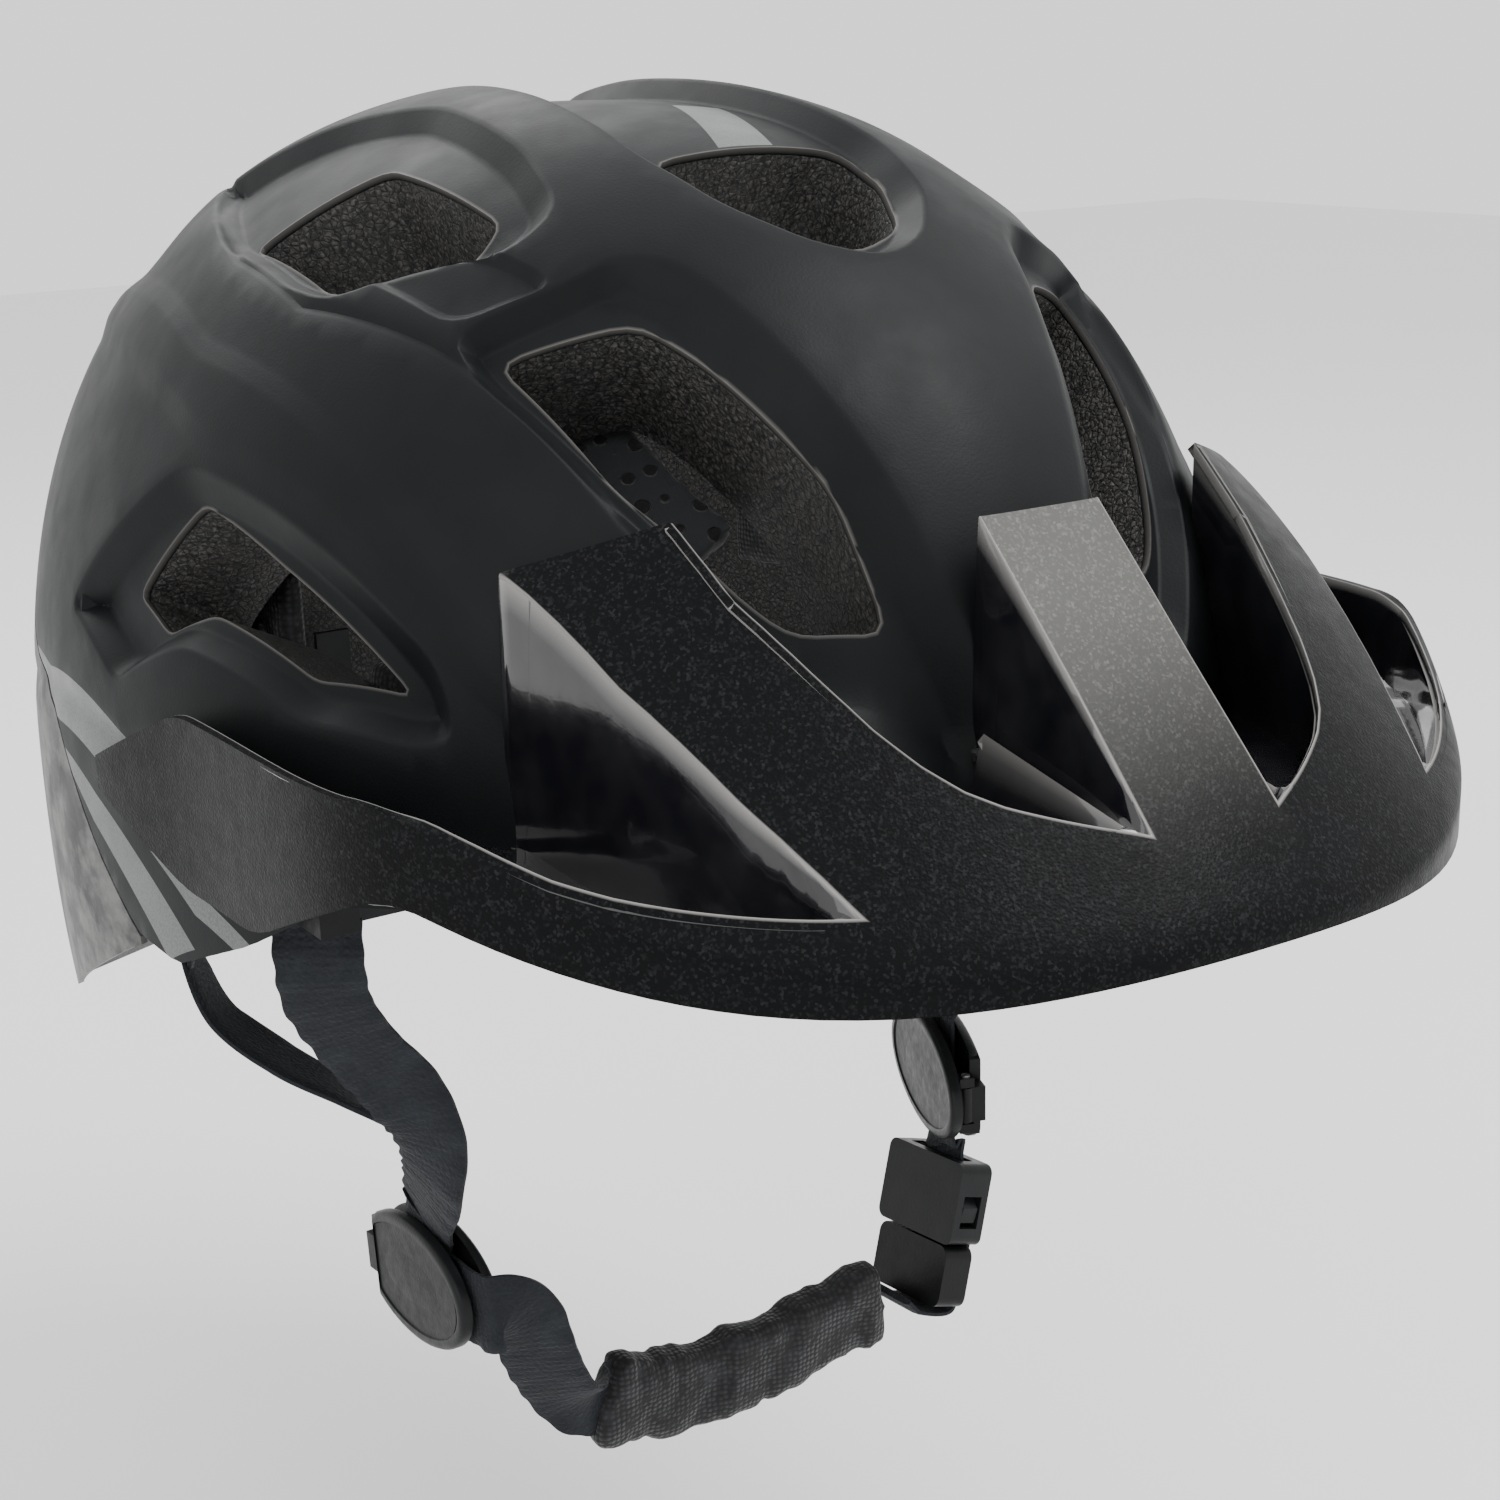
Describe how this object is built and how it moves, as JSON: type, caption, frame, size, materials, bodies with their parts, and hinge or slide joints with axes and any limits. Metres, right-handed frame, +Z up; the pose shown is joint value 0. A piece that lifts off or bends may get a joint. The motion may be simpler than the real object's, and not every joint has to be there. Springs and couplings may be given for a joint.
{
  "type": "cycling helmet",
  "caption": "Vented open-face cycling helmet with a push-fit peak, foam liner, Y-strap chin harness, side-release buckle and dial-adjusted cradle.",
  "frame": {"origin": "centre of the head cavity at its widest level, on the symmetry plane of the shell", "axes": "+Z up towards the crown, -Y towards the front and the peak, +X towards the wearer's left"},
  "size_m": [0.214, 0.3285, 0.2628],
  "materials": {
    "shell_black": "matte dark charcoal polycarbonate",
    "shell_marbled": "glossy marbled grey polycarbonate",
    "visor_black": "satin black with fine sparkle",
    "foam": "beaded black foam",
    "plastic_black": "satin moulded",
    "pad_fabric": "knitted mesh over thin foam",
    "hook_tape": "hook tape",
    "webbing": "ribbed woven webbing",
    "steel": "plated"
  },
  "bodies": {
    "helmet": {"outer_shell": "shell_black", "rear_lower_shell": "shell_marbled", "foam_liner": "foam", "visor_sockets": "plastic_black", "brow_pad": "pad_fabric", "finger_pad_right": "pad_fabric", "finger_pad_left": "pad_fabric", "side_pad_right": "pad_fabric", "side_pad_left": "pad_fabric", "crown_pad": "pad_fabric", "hook_dots": "hook_tape", "strap_anchors": "plastic_black", "strap_front_right": "webbing", "strap_rear_right": "webbing", "strap_front_left": "webbing", "strap_rear_left": "webbing", "chin_strap": "webbing", "divider_right": "plastic_black", "divider_left": "plastic_black", "divider_pins": "steel", "buckle_female": "plastic_black", "temple_anchors": "plastic_black", "band_right": "plastic_black", "band_left": "plastic_black", "cradle_hanger": "plastic_black"},
    "visor": {"visor": "visor_black"},
    "divider_clamp_right": {"divider_clamp_right": "plastic_black"},
    "divider_clamp_left": {"divider_clamp_left": "plastic_black"},
    "chin_half": {"buckle_male": "plastic_black", "chin_pad": "pad_fabric", "strap_tail": "webbing"},
    "prong_front": {"buckle_prong_front": "plastic_black"},
    "prong_rear": {"buckle_prong_rear": "plastic_black"},
    "cradle": {"cradle": "plastic_black", "cradle_pad": "pad_fabric", "dial_cover": "plastic_black", "dial_screw": "steel"},
    "dial": {"dial_pinion": "plastic_black", "dial_knob": "plastic_black"},
    "rack_right": {"rack_right": "plastic_black"},
    "rack_left": {"rack_left": "plastic_black"}
  },
  "joints": [
    {"name": "visor_pull", "type": "slide", "parent": "helmet", "child": "visor", "axis": [0, -1, 0], "range_m": [0, 0.14]},
    {"name": "divider_right_clamp", "type": "hinge", "parent": "helmet", "child": "divider_clamp_right", "pos_m": [-0.057, -0.00307, -0.08962], "axis": [0, -0.09, -0.9959], "range_deg": [0, 85]},
    {"name": "divider_left_clamp", "type": "hinge", "parent": "helmet", "child": "divider_clamp_left", "pos_m": [0.0492, -0.04886, -0.072], "axis": [0, 0, -1], "range_deg": [0, 85]},
    {"name": "buckle_release", "type": "slide", "parent": "helmet", "child": "chin_half", "axis": [-0.2986, -0.0942, -0.9497], "range_m": [0, 0.025], "deforming": ["chin_strap", "buckle_prong_front", "buckle_prong_rear"]},
    {"name": "prong_front_squeeze", "type": "hinge", "parent": "chin_half", "child": "prong_front", "pos_m": [0.05092, -0.04143, -0.10455], "axis": [-0.9539, 0, 0.3], "range_deg": [0, 9], "stiffness_Nm_per_rad": 0.02},
    {"name": "prong_rear_squeeze", "type": "hinge", "parent": "chin_half", "child": "prong_rear", "pos_m": [0.05053, -0.02769, -0.10579], "axis": [0.9539, 0, -0.3], "range_deg": [0, 9], "stiffness_Nm_per_rad": 0.02},
    {"name": "cradle_fit", "type": "slide", "parent": "helmet", "child": "cradle", "axis": [0, 1, 0], "range_m": [-0.006, 0.006], "deforming": ["band_right", "band_left", "cradle_hanger"]},
    {"name": "dial_turn", "type": "hinge", "parent": "cradle", "child": "dial", "pos_m": [0, 0.1112, -0.053], "axis": [0, 1, 0], "range_deg": [-58, 58]},
    {"name": "rack_right_slide", "type": "slide", "parent": "cradle", "child": "rack_right", "axis": [1, 0, 0], "range_m": [-0.0061, 0.0061]},
    {"name": "rack_left_slide", "type": "slide", "parent": "cradle", "child": "rack_left", "axis": [1, 0, 0], "range_m": [-0.0061, 0.0061]}
  ],
  "couplings": [
    {"joint": "dial_turn", "follows": "cradle_fit", "rad_per_m": -166.67},
    {"joint": "rack_right_slide", "follows": "cradle_fit", "ratio": -1},
    {"joint": "rack_left_slide", "follows": "cradle_fit", "ratio": 1}
  ]
}
